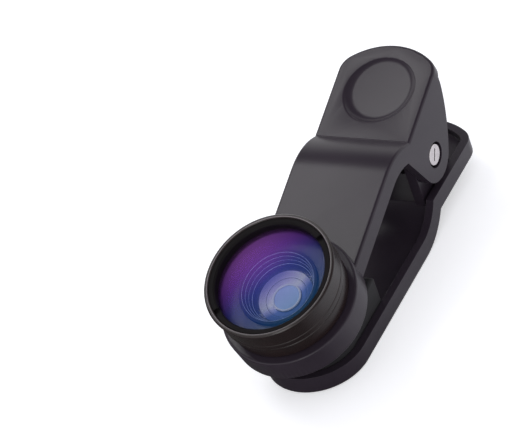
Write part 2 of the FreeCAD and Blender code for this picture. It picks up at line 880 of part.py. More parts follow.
def macro_element(doc, size, level):
    """Makes the close-up element, a thick double-convex glass."""
    radius = size.macro_radius
    seat = level.macro_seat - size.seat_gap
    crown_radius = size.aperture_radius
    edge_low = seat - size.macro_edge
    crown = seat + sag(size.macro_front_curve, crown_radius)
    bottom = edge_low - sag(size.macro_back_curve, radius)
    return turned_body(doc, "macro_element", [
        (as_measure(0), bottom),
        (radius, edge_low, size.macro_back_curve),
        (radius, seat),
        (crown_radius, seat),
        (as_measure(0), crown, size.macro_front_curve),
    ])


def macro_ring(doc, size, level):
    """Makes the ring that holds the close-up element in the base."""
    top = level.macro_seat - size.seat_gap - size.macro_edge
    low = top - size.macro_ring_height
    outer = size.macro_radius
    inner = outer - size.macro_ring_width
    return turned_body(doc, "macro_retaining_ring", [
        (inner, low),
        (outer, low),
        (outer, top),
        (inner + size.macro_ring_width / 2, top),
    ])


def head_barrel(doc, size, level):
    """Makes the head's barrel: thread, shoulder, plain wall, front rim and the glass seats."""
    thread = size.base_socket_radius - size.thread_clearance
    throat = size.head_throat_radius
    lip = throat - size.head_lip_width
    chamfer = size.rim_chamfer
    rim_low = level.head_top - size.rim_height
    wall_low = level.head_foot + size.head_step
    return turned_body(doc, "head_barrel", [
        (lip, level.head_end),
        (thread - chamfer, level.head_end),
        (thread, level.head_end + chamfer),
        (thread, level.head_foot),
        (size.base_radius - size.base_chamfer, level.head_foot),
        (size.head_radius, wall_low),
        (size.head_radius, rim_low),
        (size.rim_radius, rim_low + (size.rim_radius - size.head_radius)),
        (size.rim_radius, level.head_top - chamfer),
        (size.rim_radius - chamfer, level.head_top),
        (size.head_bore_radius + chamfer, level.head_top),
        (size.head_bore_radius, level.head_top - chamfer),
        (size.head_bore_radius, level.glass_seat),
        (throat, level.glass_seat),
        (throat, level.throat_floor),
        (lip, level.throat_floor),
    ])


def front_element(doc, size, level):
    """Makes the big front glass, a meniscus with a bulged face and a hollow back."""
    radius = size.head_bore_radius - size.element_clearance
    crown = level.glass_seat + size.front_glass_height
    edge = crown - sag(size.front_glass_front_curve, radius)
    hollow = level.glass_seat + sag(size.front_glass_back_curve, size.front_glass_back_radius)
    return turned_body(doc, "front_element", [
        (as_measure(0), hollow),
        (size.front_glass_back_radius, level.glass_seat, -size.front_glass_back_curve),
        (radius, level.glass_seat),
        (radius, edge),
        (as_measure(0), crown, size.front_glass_front_curve),
    ])


def front_ring(doc, size, level):
    """Makes the ring that holds the glass stack, with two notches for a pin spanner."""
    outer = size.head_bore_radius - size.element_clearance
    inner = outer - size.front_ring_width
    crown = level.glass_seat + size.front_glass_height
    foot = crown - sag(size.front_glass_front_curve, inner)
    top = level.head_top - size.front_ring_sink
    body = turned_body(doc, "front_retaining_ring", [
        (inner, foot),
        (outer, foot),
        (outer, top),
        (inner + size.front_ring_bevel, top),
        (inner, top - size.front_ring_bevel),
    ])
    reach, angle = size.rim_radius, size.notch_angle
    return slot_across(body, "spanner_notches", top, reach, size.notch_width, angle, size.notch_depth)


def rear_element(doc, size, level):
    """Makes the small rear glass of the head, flat behind and bulged in front."""
    radius = size.head_throat_radius - size.element_clearance
    face = level.throat_floor + size.rear_glass_edge
    bulge = radius - size.baffle_width
    crown = face + sag(size.rear_glass_front_curve, bulge)
    return turned_body(doc, "rear_element", [
        (as_measure(0), level.throat_floor),
        (radius, level.throat_floor),
        (radius, face),
        (bulge, face),
        (as_measure(0), crown, size.rear_glass_front_curve),
    ])


def glass_spacers(doc, size, level):
    """Makes the thin baffle on the rear glass and the stepped spacer tube up to the front glass."""
    outer = size.head_throat_radius - size.element_clearance
    foot = level.throat_floor + size.rear_glass_edge
    baffle_top = foot + size.baffle_thickness
    baffle = turned_body(doc, "light_baffle", [
        (outer - size.baffle_width, foot),
        (outer, foot),
        (outer, baffle_top),
        (outer - size.baffle_width, baffle_top),
    ])
    front_hollow = level.glass_seat + sag(size.front_glass_back_curve, size.front_glass_back_radius)
    spacer_top = front_hollow - sag(size.front_glass_back_curve, outer)
    rise = (spacer_top - baffle_top) / 3
    wide = outer - size.spacer_width
    middle, narrow = wide - size.spacer_step, wide - 2 * size.spacer_step
    spacer = turned_body(doc, "element_spacer", [
        (narrow, baffle_top),
        (outer, baffle_top),
        (outer, spacer_top),
        (wide, spacer_top),
        (wide, baffle_top + 2 * rise),
        (middle, baffle_top + 2 * rise),
        (middle, baffle_top + rise),
        (narrow, baffle_top + rise),
    ])
    return baffle, spacer


def closing_angle(size):
    """Returns the angle between the arms, in degrees, at which the rear pad's tip meets the front pad."""
    half = size.arm_width.number / 2 - size.side_wall.number - size.rear_pad_clearance.number
    edge = size.rear_pad_edge.number
    along = size.pivot_distance.number + half - edge
    below = size.pivot_depth.number - size.plate_thickness.number - size.rear_pad_thickness.number + edge
    above = size.pivot_depth.number - size.ring_depth.number - size.front_pad_thickness.number
    room = above - edge - size.pad_contact_gap.number
    swing = math.asin(room / math.hypot(along, below)) + math.atan2(below, along)
    return math.degrees(swing)


def finish(doc, pieces):
    """Checks every object, then writes each piece to its own file."""
    doc.recompute()
    for thing in doc.Objects:
        if "Invalid" in thing.State or "Error" in thing.State:
            raise RuntimeError(f"{thing.Name} failed: {thing.State}")
    os.makedirs("parts", exist_ok=True)
    for piece in pieces:
        shape = piece.Shape
        if shape.isNull() or not shape.isValid() or len(shape.Solids) != 1:
            raise RuntimeError(f"{piece.Label} isn't one valid solid")
        shape.exportStep(os.path.join("parts", f"{piece.Label}.step"))
        box = shape.BoundBox
        low, high = (box.XMin, box.YMin, box.ZMin), (box.XMax, box.YMax, box.ZMax)
        corners = " ".join(f"{value:.2f}" for value in low + high)
        print(f"{piece.Label}: {shape.Volume:.2f} mm3, box {corners}")


def build():
    """Builds the whole clip and puts each piece in its place."""
    doc = FreeCAD.newDocument("ClipLens")
    size = make_sheet(doc)
    level = lens_levels(size)
    angle = closing_angle(size)
    pin_rear = Vector(0, size.pivot_distance.number, size.pivot_depth.number)
    pin_front = Vector(0, size.pivot_distance.number, -size.pivot_depth.number)
    swing = Rotation(Vector(1, 0, 0), angle)
    on_front_arm = Placement(pin_rear - swing.multVec(pin_front), swing)
    on_rear_arm = Placement(Vector(), Rotation(Vector(0, 1, 0), 180))
    on_pin = Placement(pin_rear, Rotation(Vector(0, 1, 0), 90))
    at_coil = Placement(pin_rear, Rotation())
    front_pad, rear_pad = jaw_pads(doc, size)
    baffle, spacer = glass_spacers(doc, size, level)
    placed = [
        (on_rear_arm, [rear_arm(doc, size), rear_pad]),
        (on_pin, [pivot_pin(doc, size)]),
        (at_coil, [torsion_spring(doc, size, angle)]),
        (on_front_arm, [front_arm(doc, size), front_pad, thread_insert(doc, size)]),
        (on_front_arm, [base_barrel(doc, size, level), macro_element(doc, size, level)]),
        (on_front_arm, [macro_ring(doc, size, level), head_barrel(doc, size, level)]),
        (on_front_arm, [rear_element(doc, size, level), baffle, spacer]),
        (on_front_arm, [front_element(doc, size, level), front_ring(doc, size, level)]),
    ]
    pieces = []
    for placement, group in placed:
        for piece in group:
            piece.Placement = placement
            piece.Label = piece.Name
            pieces.append(piece)
    finish(doc, pieces)
    print(f"angle between the arms: {angle:.3f} degrees")


build()
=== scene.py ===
"""The looks of a clip-on phone lens: finishes, ground glass, turned rings, the sprung wire and the studio.

All sizes are in millimetres and are turned to metres where a mesh is made. Pieces of the lens are drawn
in the front arm's own frame: x along the pin, y towards the thumb plate and z out along the optical
axis, with its origin at the middle of the lens ring. FRONT takes them to the part's frame.
"""
import json
import logging
import math
from dataclasses import dataclass
from enum import Enum
from typing import Protocol, Sequence

import bmesh
import bpy
from bpy.types import Material, Mesh, Node, NodeSocket, NodeTree, Object
from mathutils import Matrix, Vector


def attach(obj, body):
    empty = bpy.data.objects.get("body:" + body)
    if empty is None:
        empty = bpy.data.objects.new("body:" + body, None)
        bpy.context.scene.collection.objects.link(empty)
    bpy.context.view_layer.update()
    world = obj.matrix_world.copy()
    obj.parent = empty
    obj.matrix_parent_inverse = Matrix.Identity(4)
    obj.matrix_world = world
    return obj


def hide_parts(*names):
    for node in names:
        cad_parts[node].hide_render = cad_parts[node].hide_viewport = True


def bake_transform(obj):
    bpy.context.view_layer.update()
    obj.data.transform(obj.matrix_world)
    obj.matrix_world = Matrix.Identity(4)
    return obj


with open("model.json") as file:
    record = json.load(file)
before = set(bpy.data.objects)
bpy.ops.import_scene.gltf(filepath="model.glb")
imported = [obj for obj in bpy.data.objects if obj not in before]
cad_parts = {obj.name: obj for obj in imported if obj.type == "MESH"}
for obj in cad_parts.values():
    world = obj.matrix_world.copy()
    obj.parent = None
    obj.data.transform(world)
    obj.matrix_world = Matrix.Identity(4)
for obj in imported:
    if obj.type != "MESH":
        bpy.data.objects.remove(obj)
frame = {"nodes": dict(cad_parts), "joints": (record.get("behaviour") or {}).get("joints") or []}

LOG = logging.getLogger("clip_lens")
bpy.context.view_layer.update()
MM = 0.001

Triple = tuple[float, float, float]
# Stops of a colour ramp: place from zero to one, and hex colour
Stops = Sequence[tuple[float, str]]
# Corners of a closed section: radius, height and, where it has one, the radius that softens the corner
Section = Sequence[tuple[float, ...]]
Sockets = tuple[tuple[str, float], ...]
# What can feed a socket: another one, or a node by its first output
Source = Node | NodeSocket
# Radii that soften a lathe's edges, and the chords round the lens
CRISP = 0.05
KEEN = 0.03
SEGMENTS = 144


class Body(Enum):
    """The rigid bodies of the clip."""

    REAR_ARM = "rear_arm_body"
    FRONT_ARM = "front_arm_body"
    LENS_BASE = "lens_base"
    WIDE_HEAD = "wide_angle_head"


class Slot(Enum):
    """The material slots of the record."""

    PLASTIC = "clip_plastic"
    RUBBER = "pad_rubber"
    ANODISED = "black_anodised"
    GLASS = "coated_glass"
    PIN = "pin_steel"
    SPRING = "spring_steel"


NODES = frame["nodes"]
# The hinge's pin and the lens's slide at rest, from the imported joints
JOINTS = {joint["name"]: joint for joint in frame["joints"]}
PIVOT = JOINTS["jaw_hinge"]["pos_m"]
SLIDE = Vector(JOINTS["base_unscrews"]["axis"])
# The front arm's lean about the pin, and the matrix from its own frame to the part's, in metres
SWING = math.atan2(-SLIDE.y, SLIDE.z)
LEAN = Matrix.Rotation(SWING, 4, "X")
FRONT = Matrix.Translation(PIVOT) @ LEAN @ Matrix.Translation((0.0, -PIVOT[1], PIVOT[2]))


# Colours and node helpers


def linear(code: str) -> tuple[float, float, float, float]:
    """Turns an sRGB hex colour to linear light.

    Args:
        code: six hex digits after a hash.

    Returns:
        Red, green, blue and an alpha of one.
    """
    values = [int(code[index:index + 2], 16) / 255 for index in (1, 3, 5)]
    light = [value / 12.92 if value <= 0.04045 else ((value + 0.055) / 1.055) ** 2.4 for value in values]
    return (*light, 1.0)


def add_node(tree: NodeTree, kind: str, inputs: dict | None = None, **settings) -> Node:
    """Adds a node, sets its properties and fills or links its inputs.

    Args:
        tree: the node tree that gets the node.
        kind: Blender's name for the node type.
        inputs: socket name or number to a value, or to the socket or node that feeds it.
        settings: properties of the node itself.

    Returns:
        The new node.
    """
    node = tree.nodes.new(kind)
    for name, value in settings.items():
        setattr(node, name, value)
    for name, value in (inputs or {}).items():
        source = value.outputs[0] if isinstance(value, Node) else value
        if isinstance(source, NodeSocket):
            tree.links.new(source, node.inputs[name])
        else:
            node.inputs[name].default_value = source
    return node


def blank_material(name: str) -> tuple[Material, NodeTree]:
    """Makes a material with an empty node tree.

    Args:
        name: name of the material.

    Returns:
        The material and its tree.
    """
    material = bpy.data.materials.new(name)
    material.use_nodes = True
    material.node_tree.nodes.clear()
    return material, material.node_tree


def surface(tree: NodeTree, inputs: dict) -> None:
    """Adds the shader of a material, with these values in its sockets, and the output."""
    shader = add_node(tree, "ShaderNodeBsdfPrincipled", inputs)
    add_node(tree, "ShaderNodeOutputMaterial", {"Surface": shader})


def lens_place(tree: NodeTree) -> Node:
    """Adds nodes that give a point's place in the lens's own frame.

    Args:
        tree: the material's tree.

    Returns:
        The node that gives x and y across the lens and z along its axis, in metres.
    """
    place = add_node(tree, "ShaderNodeTexCoord").outputs["Object"]
    shifted = add_node(tree, "ShaderNodeVectorMath", {0: place, 1: FRONT.translation}, operation="SUBTRACT")
    return add_node(tree, "ShaderNodeMapping", {"Vector": shifted, "Rotation": (-SWING, 0.0, 0.0)})


def fill_ramp(ramp: Node, stops: Stops) -> None:
    """Gives a colour ramp its stops.

    Args:
        ramp: the ramp node.
        stops: the stops in order.
    """
    elements = ramp.color_ramp.elements
    while len(elements) < len(stops):
        elements.new(0.5)
    for element, (place, code) in zip(elements, stops):
        element.position = place
        element.color = linear(code)


# Finishes, and painted highlights and shade


@dataclass(frozen=True)
class Finish:
    """A finish of noise: one pattern mixes its two colours, and a finer one gives its gloss and relief."""

    name: str
    low: str
    high: str
    roughness: float
    tint_mm: float
    tint_detail: float = 2.0
    metallic: float = 0.0
    # Values of the shader's other sockets
    others: Sockets = ()
    relief_mm: float = 0.0
    relief_detail: float = 3.0
    relief_roughness: float = 0.5
    # How far the roughness falls and rises with the relief
    gloss_swing: tuple[float, float] = (0.0, 0.0)
    bump_strength: float = 0.5
    bump_depth_mm: float = 0.0

    def place(self, tree: NodeTree) -> Source:
        """Returns what gives the place that the patterns follow."""
        return add_node(tree, "ShaderNodeTexCoord").outputs["Object"]

    def relief(self, tree: NodeTree, place: Source) -> NodeSocket:
        """Returns the socket with the finer pattern."""
        return add_node(tree, "ShaderNodeTexNoise", {
            "Vector": place,
            "Scale": 1 / (self.relief_mm * MM),
            "Detail": self.relief_detail,
            "Roughness": self.relief_roughness,
        }).outputs["Fac"]

    def tint(self, tree: NodeTree, place: Source) -> NodeSocket:
        """Returns the socket with the colour."""
        noise = add_node(tree, "ShaderNodeTexNoise", {
            "Vector": place, "Scale": 1 / (self.tint_mm * MM), "Detail": self.tint_detail,
        })
        return add_node(tree, "ShaderNodeMix", {
            0: noise.outputs["Fac"], 6: linear(self.low), 7: linear(self.high),
        }, data_type="RGBA").outputs[2]

    def build(self) -> Material:
        """Makes the material.

        Returns:
            The material, with relief only where the finish has some.
        """
        material, tree = blank_material(self.name)
        place = self.place(tree)
        inputs = {
            "Base Color": self.tint(tree, place),
            "Metallic": self.metallic,
            "Roughness": self.roughness,
            **dict(self.others),
        }
        if self.relief_mm:
            relief = self.relief(tree, place)
            less, more = self.gloss_swing
            if less or more:
                inputs["Roughness"] = add_node(tree, "ShaderNodeMapRange", {
                    "Value": relief, "To Min": self.roughness - less, "To Max": self.roughness + more,
                })
            if self.bump_depth_mm:
                inputs["Normal"] = add_node(tree, "ShaderNodeBump", {
                    "Height": relief, "Strength": self.bump_strength, "Distance": self.bump_depth_mm * MM,
                })
        surface(tree, inputs)
        return material


@dataclass(frozen=True)
class MouldedPlastic(Finish):
    """ABS, injection moulded in a spark-eroded tool: a satin skin with a fine even grain."""

    name: str = "satin_moulded_abs"
    low: str = "#2b242c"
    high: str = "#342c35"
    roughness: float = 0.3
    tint_mm: float = 8.0
    tint_detail: float = 3.0
    others: Sockets = (("IOR", 1.42),)
    relief_mm: float = 0.25
    relief_detail: float = 2.0
    relief_roughness: float = 0.7
    gloss_swing: tuple[float, float] = (0.05, 0.05)
    bump_depth_mm: float = 0.01


@dataclass(frozen=True)
class SiliconeRubber(Finish):
    """Black silicone rubber, pressed in a mould: soft, nearly matt, with small pores and a faint bloom."""

    name: str = "black_silicone_rubber"
    low: str = "#19181a"
    high: str = "#262427"
    roughness: float = 0.72
    tint_mm: float = 5.0
    others: Sockets = (("IOR", 1.41), ("Sheen Weight", 0.1))
    relief_mm: float = 0.3
    bump_strength: float = 0.4
    bump_depth_mm: float = 0.02


@dataclass(frozen=True)
class AnodisedAluminium(Finish):
    """Aluminium, turned on a lathe and anodised black: fine rings under a satin skin, faintly warm."""

    name: str = "black_anodised_aluminium"
    low: str = "#191213"
    high: str = "#2b1f1e"
    roughness: float = 0.28
    tint_mm: float = 4.0
    tint_detail: float = 4.0
    others: Sockets = (("Specular IOR Level", 0.4),)
    # The real turning marks are about 0.05 mm apart; these are drawn coarser so that they show
    relief_mm: float = 0.3
    gloss_swing: tuple[float, float] = (0.04, 0.06)
    bump_strength: float = 0.25
    bump_depth_mm: float = 0.006

    def place(self, tree: NodeTree) -> Source:
        """Returns the place in the lens's own frame, so that the rings lie about its axis."""
        return lens_place(tree)

    def relief(self, tree: NodeTree, place: Source) -> NodeSocket:
        """Returns the socket with the turning rings; a wave texture of scale 1 repeats every pi / 10."""
        return add_node(tree, "ShaderNodeTexWave", {
            "Vector": place, "Scale": math.pi / 10 / (self.relief_mm * MM), "Distortion": 0.5, "Detail": 2.0,
        }, bands_direction="Z").outputs["Fac"]


@dataclass(frozen=True)
class MattBlack(Finish):
    """Black flocked paint inside a lens: dry and faintly speckled, it shows only its edges."""

    name: str = "matt_black_paint"
    low: str = "#0f0e10"
    high: str = "#1a181c"
    roughness: float = 0.8
    tint_mm: float = 0.25


@dataclass(frozen=True)
class PaintedHighlight(Finish):
    """A thin edge coloured near white, with a little chatter: a painted highlight where a diamond-cut edge
    would catch the lamp.
    """

    name: str = "painted_highlight_white"
    low: str = "#e6ecfa"
    high: str = "#ffffff"
    roughness: float = 0.35
    tint_mm: float = 0.4


@dataclass(frozen=True)
class NickelPlate(Finish):
    """Steel, headed, tumbled and nickel plated: bright and a little wavy, with its slot painted dark as
    shade.
    """

    name: str = "nickel_plated_steel"
    low: str = "#c6bfc1"
    high: str = "#efe9ea"
    roughness: float = 0.24
    tint_mm: float = 0.8
    tint_detail: float = 3.0
    metallic: float = 1.0
    relief_mm: float = 0.8
    gloss_swing: tuple[float, float] = (0.08, 0.12)
    bump_depth_mm: float = 0.03
    # Dark colour painted in the slot as its shade
    slot_painted_shade: str = "#1c191a"
    # The slot lies between these places along the pin
    slot_low_mm: float = 9.5
    slot_high_mm: float = 9.78

    def tint(self, tree: NodeTree, place: Source) -> NodeSocket:
        """Returns the socket with the colour, which is painted dark shade in the slot."""
        in_slot = add_node(tree, "ShaderNodeMath", {
            0: add_node(tree, "ShaderNodeSeparateXYZ", {"Vector": place}),
            1: (self.slot_low_mm + self.slot_high_mm) / 2 * MM,
            2: (self.slot_high_mm - self.slot_low_mm) / 2 * MM,
        }, operation="COMPARE")
        return add_node(tree, "ShaderNodeMix", {
            0: in_slot, 6: super().tint(tree, place), 7: linear(self.slot_painted_shade),
        }, data_type="RGBA").outputs[2]


@dataclass(frozen=True)
class SpringSteel(Finish):
    """Carbon steel, cold drawn and oiled: grey wire with darker patches of oil."""

    name: str = "drawn_spring_steel"
    low: str = "#5a5857"
    high: str = "#8e8c8a"
    roughness: float = 0.3
    tint_mm: float = 0.6
    tint_detail: float = 4.0
    metallic: float = 1.0
    relief_mm: float = 0.6
    relief_detail: float = 4.0
    gloss_swing: tuple[float, float] = (0.1, 0.1)


@dataclass(frozen=True)
class FilmWithPaintedReflection:
    """A smooth face under a vacuum coated film, its colour ramp laid across the lens by place: a painted
    reflection.
    """

    name: str
    film: Stops
    # Distance from the axis at which the colours end, and the direction in which they run
    reach_mm: float
    turn_degrees: float = -38.0
    metallic: float = 0.3
    roughness: float = 0.4

    def cover(self, tree: NodeTree, place: Node) -> Node | float:
        """Returns the share of the light that the surface stops: all of it."""
        return 1.0

    def build(self) -> Material:
        """Makes the material.

        Returns:
            The material, with a colour ramp across the lens.
        """
        material, tree = blank_material(self.name)
        place = lens_place(tree)
        turned = add_node(tree, "ShaderNodeMapping", {
            "Vector": place,
            "Rotation": (0.0, 0.0, math.radians(-self.turn_degrees)),
            "Scale": (0.5 / (self.reach_mm * MM),) * 3,
        })
        along = add_node(tree, "ShaderNodeSeparateXYZ", {"Vector": turned})
        middle = add_node(tree, "ShaderNodeMath", {0: along, 1: 0.5}, operation="ADD")
        ramp = add_node(tree, "ShaderNodeValToRGB", {"Fac": middle})
        fill_ramp(ramp, self.film)
        surface(tree, {
            "Base Color": ramp,
            "Metallic": self.metallic,
            "Roughness": self.roughness,
            "Alpha": self.cover(tree, place),
        })
        return material


@dataclass(frozen=True)
class CoatedGlass(FilmWithPaintedReflection):
    """Crown glass, ground, polished and vacuum coated: clear, with a film that throws back a tint painted
    across it by place.

    The glass lets light straight through. Its bend is left out, so that lamps reach what lies behind it.
    """

    metallic: float = 1.0
    # The coated face is part of a sphere about a point on the optical axis
    sphere_mm: float = 40.0
    centre_mm: float = 0.0
    film_share: float = 0.05
    clear_share: float = 0.02
    face_slack_mm: float = 0.02

    def cover(self, tree: NodeTree, place: Node) -> Node | float:
        """Finds the share of the light that the glass stops.

        Args:
            tree: the material's tree.
            place: the node with the place in the lens's own frame.

        Returns:
            The node that gives the film's share on the coated face and a faint one elsewhere.
        """
        centre = (0.0, 0.0, self.centre_mm * MM)
        apart = add_node(tree, "ShaderNodeVectorMath", {0: place, 1: centre}, operation="DISTANCE")
        on_face = add_node(tree, "ShaderNodeMath", {
            0: apart.outputs["Value"], 1: (self.sphere_mm - self.face_slack_mm) * MM,
        }, operation="GREATER_THAN")
        return add_node(tree, "ShaderNodeMapRange", {
            "Value": on_face, "To Min": self.clear_share, "To Max": self.film_share,
        })


# Mesh helpers


def softened(section: Section, steps: int = 3, most: float = 0.45) -> list[tuple[float, float]]:
    """Rounds the corners of a closed section.

    Args:
        section: the section's corners in order.
        steps: the number of chords in each rounded corner.
        most: the share of a side that one corner may take.

    Returns:
        Points of the section as radius and height.
    """
    points = []
    spots = [Vector(corner[:2]) for corner in section]
    for index, (here, corner) in enumerate(zip(spots, section)):
        if len(corner) == 2:
            points.append((here.x, here.y))
            continue
        back = spots[index - 1] - here
        ahead = spots[(index + 1) % len(spots)] - here
        reach = corner[2] / math.tan(back.angle(ahead) / 2)
        reach = min(reach, back.length * most, ahead.length * most)
        start, end = here + back.normalized() * reach, here + ahead.normalized() * reach
        for step in range(steps + 1):
            share = step / steps
            bent = start * (1 - share) ** 2 + here * 2 * share * (1 - share) + end * share ** 2
            points.append((bent.x, bent.y))
    return points


def ground_face(edge: float, height: float, curve: float, steps: int = 20) -> Section:
    """Draws a ground spherical face, from its edge to the axis.

    Args:
        edge: radius of the face's edge.
        height: height of that edge.
        curve: radius of the sphere, negative where the face falls towards the axis.
        steps: number of chords from the edge to the axis.

    Returns:
        The corners, without softening.
    """
    base = math.sqrt(curve ** 2 - edge ** 2)
    side = math.copysign(1, curve)
    radii = [edge * (1 - step / steps) for step in range(steps + 1)]
    return [(radius, height + side * (math.sqrt(curve ** 2 - radius ** 2) - base)) for radius in radii]


def finished_mesh(work: bmesh.types.BMesh, sharp_degrees: float = 38.0) -> Mesh:
    """Writes a bmesh to a smooth mesh whose hard edges stay sharp.

    Args:
        work: the bmesh, which is freed.
        sharp_degrees: angle from which an edge is hard.

    Returns:
        The mesh.
    """
    for face in work.faces:
        face.smooth = True
    for edge in work.edges:
        edge.smooth = len(edge.link_faces) == 2 and edge.calc_face_angle(0.0) < math.radians(sharp_degrees)
    mesh = bpy.data.meshes.new("finished")
    work.to_mesh(mesh)
    work.free()
    return mesh


def evaluated_mesh(holder: Object) -> Mesh:
    """Turns an object with its modifiers to a plain mesh and removes the object.

    Args:
        holder: the object that carries the modifiers.

    Returns:
        The plain mesh.
    """
    graph = bpy.context.evaluated_depsgraph_get()
    mesh = bpy.data.meshes.new_from_object(holder.evaluated_get(graph))
    bpy.data.objects.remove(holder)
    return mesh


def linked_object(name: str, data: bpy.types.ID) -> Object:
    """Puts a new object in the scene.

    Args:
        name: its name.
        data: its mesh, curve, camera or lamp.

    Returns:
        The object.
    """
    item = bpy.data.objects.new(name, data)
    bpy.context.scene.collection.objects.link(item)
    return item


def dress(mesh: Mesh, material: Material) -> None:
    """Gives a mesh its finish, in place of what it has."""
    mesh.materials.clear()
    mesh.materials.append(material)


# Geometry Nodes


def start_tree(name: str, inputs: dict[str, str]) -> tuple[NodeTree, Sequence[NodeSocket]]:
    """Starts a Geometry Nodes tree with named inputs.

    Args:
        name: name of the tree.
        inputs: name of each input to its socket type.

    Returns:
        The tree and the sockets that carry its inputs.
    """
    tree = bpy.data.node_groups.new(name, "GeometryNodeTree")
    tree.interface.new_socket("Geometry", in_out="INPUT", socket_type="NodeSocketGeometry")
    for label, kind in inputs.items():
        tree.interface.new_socket(label, in_out="INPUT", socket_type=f"NodeSocket{kind}")
    tree.interface.new_socket("Geometry", in_out="OUTPUT", socket_type="NodeSocketGeometry")
    return tree, tree.nodes.new("NodeGroupInput").outputs


def end_tree(tree: NodeTree, geometry: Node, material: NodeSocket) -> None:
    """Ends a tree: instances are made real and the material is set.

    Args:
        tree: the tree.
        geometry: the node whose result it gives.
        material: the socket with the material.
    """
    smooth = add_node(tree, "GeometryNodeSetShadeSmooth", {"Geometry": geometry})
    real = add_node(tree, "GeometryNodeRealizeInstances", {"Geometry": smooth})
    dressed = add_node(tree, "GeometryNodeSetMaterial", {"Geometry": real, "Material": material})
    add_node(tree, "NodeGroupOutput", {"Geometry": dressed})


def wire_tree() -> NodeTree:
    """Builds the tree that draws round wire along a path, with closed ends.

    Returns:
        The tree.
    """
    tree, given = start_tree("wire_along_path", {
        "Wire Radius": "Float", "Sides": "Int", "Material": "Material",
    })
    section = add_node(tree, "GeometryNodeCurvePrimitiveCircle", {
        "Resolution": given["Sides"], "Radius": given["Wire Radius"],
    })
    tube = add_node(tree, "GeometryNodeCurveToMesh", {
        "Curve": given["Geometry"], "Profile Curve": section, "Fill Caps": True,
    })
    end_tree(tree, tube, given["Material"])
    return tree


def ring_stack_tree() -> NodeTree:
    """Builds the tree that stacks thin rings along the z axis, each a step wider than the last.

    Returns:
        The tree.
    """
    sizes = ("Radius", "Radius Step", "Height", "Height Step", "Wire Radius")
    tree, given = start_tree("ring_stack", {
        "Count": "Int", **dict.fromkeys(sizes, "Float"), "Sides": "Int", "Material": "Material",
    })
    line = add_node(tree, "GeometryNodeMeshLine", {
        "Count": given["Count"],
        "Start Location": add_node(tree, "ShaderNodeCombineXYZ", {"Z": given["Height"]}),
        "Offset": add_node(tree, "ShaderNodeCombineXYZ", {"Z": given["Height Step"]}),
    })
    path = add_node(tree, "GeometryNodeCurvePrimitiveCircle", {
        "Resolution": SEGMENTS, "Radius": given["Radius"],
    })
    section = add_node(tree, "GeometryNodeCurvePrimitiveCircle", {
        "Resolution": given["Sides"], "Radius": given["Wire Radius"],
    })
    ring = add_node(tree, "GeometryNodeCurveToMesh", {"Curve": path, "Profile Curve": section})
    index = add_node(tree, "GeometryNodeInputIndex")
    wider = add_node(tree, "ShaderNodeMath", {0: index, 1: given["Radius Step"]}, operation="MULTIPLY")
    relative = add_node(tree, "ShaderNodeMath", {0: wider, 1: given["Radius"]}, operation="DIVIDE")
    scale = add_node(tree, "ShaderNodeMath", {0: relative, 1: 1.0}, operation="ADD")
    across = add_node(tree, "ShaderNodeCombineXYZ", {"X": scale, "Y": scale, "Z": 1.0})
    placed = add_node(tree, "GeometryNodeInstanceOnPoints", {
        "Points": line, "Instance": ring, "Scale": across,
    })
    end_tree(tree, placed, given["Material"])
    return tree


def grown_mesh(base: bpy.types.ID, tree: NodeTree, values: dict) -> Mesh:
    """Runs a Geometry Nodes tree and keeps its result as a plain mesh.

    Args:
        base: the mesh or curve that the tree starts from.
        tree: the tree.
        values: the tree's inputs by name.

    Returns:
        The plain mesh.
    """
    holder = linked_object("holder", base)
    grower = holder.modifiers.new("grower", "NODES")
    grower.node_group = tree
    for item in tree.interface.items_tree:
        if item.in_out == "INPUT" and item.name in values:
            grower[item.identifier] = values[item.name]
    return evaluated_mesh(holder)


def wire_mesh(points: Sequence[Vector], radius: float, sides: int, material: Material) -> Mesh:
    """Runs round wire along an open path.

    Args:
        points: the path's points, in metres.
        radius: radius of the wire.
        sides: number of its sides.
        material: its material.

    Returns:
        The mesh.
    """
    curve = bpy.data.curves.new("path", "CURVE")
    curve.dimensions = "3D"
    spline = curve.splines.new("POLY")
    spline.points.add(len(points) - 1)
    for point, where in zip(spline.points, points):
        point.co = (*where, 1.0)
    return grown_mesh(curve, wire_tree(), {"Wire Radius": radius * MM, "Sides": sides, "Material": material})


def placed(mesh: Mesh) -> Mesh:
    """Returns the mesh, taken from the front arm's own frame to the part's."""
    mesh.transform(FRONT)
    return mesh


# Shapes


class Shape(Protocol):
    """What can draw the mesh of a piece, in the part's frame."""

    def mesh(self, material: Material) -> Mesh:
        """Returns the mesh; a Geometry Nodes tree sets the material in it."""


@dataclass(frozen=True)
class Turned:
    """A closed section, turned about the optical axis."""

    section: Section

    def mesh(self, material: Material) -> Mesh:
        """Turns the section.

        Args:
            material: not used here.

        Returns:
            The mesh.
        """
        work = bmesh.new()
        rows = []
        for radius, height in softened(self.section):
            # One point on the axis stands for its whole row; a ring ends with its first point again
            row = [
                work.verts.new((radius * MM * math.cos(angle), radius * MM * math.sin(angle), height * MM))
                for angle in [math.tau * index / SEGMENTS for index in range(SEGMENTS if radius > 0 else 1)]
            ]
            rows.append([*row, row[0]] if radius > 0 else row * (SEGMENTS + 1))
        for low, high in zip(rows, [*rows[1:], rows[0]]):
            for index in range(SEGMENTS):
                band = dict.fromkeys((low[index], low[index + 1], high[index + 1], high[index]))
                if len(band) > 2:
                    work.faces.new(tuple(band))
        bmesh.ops.recalc_face_normals(work, faces=work.faces)
        work.transform(FRONT)
        return finished_mesh(work)


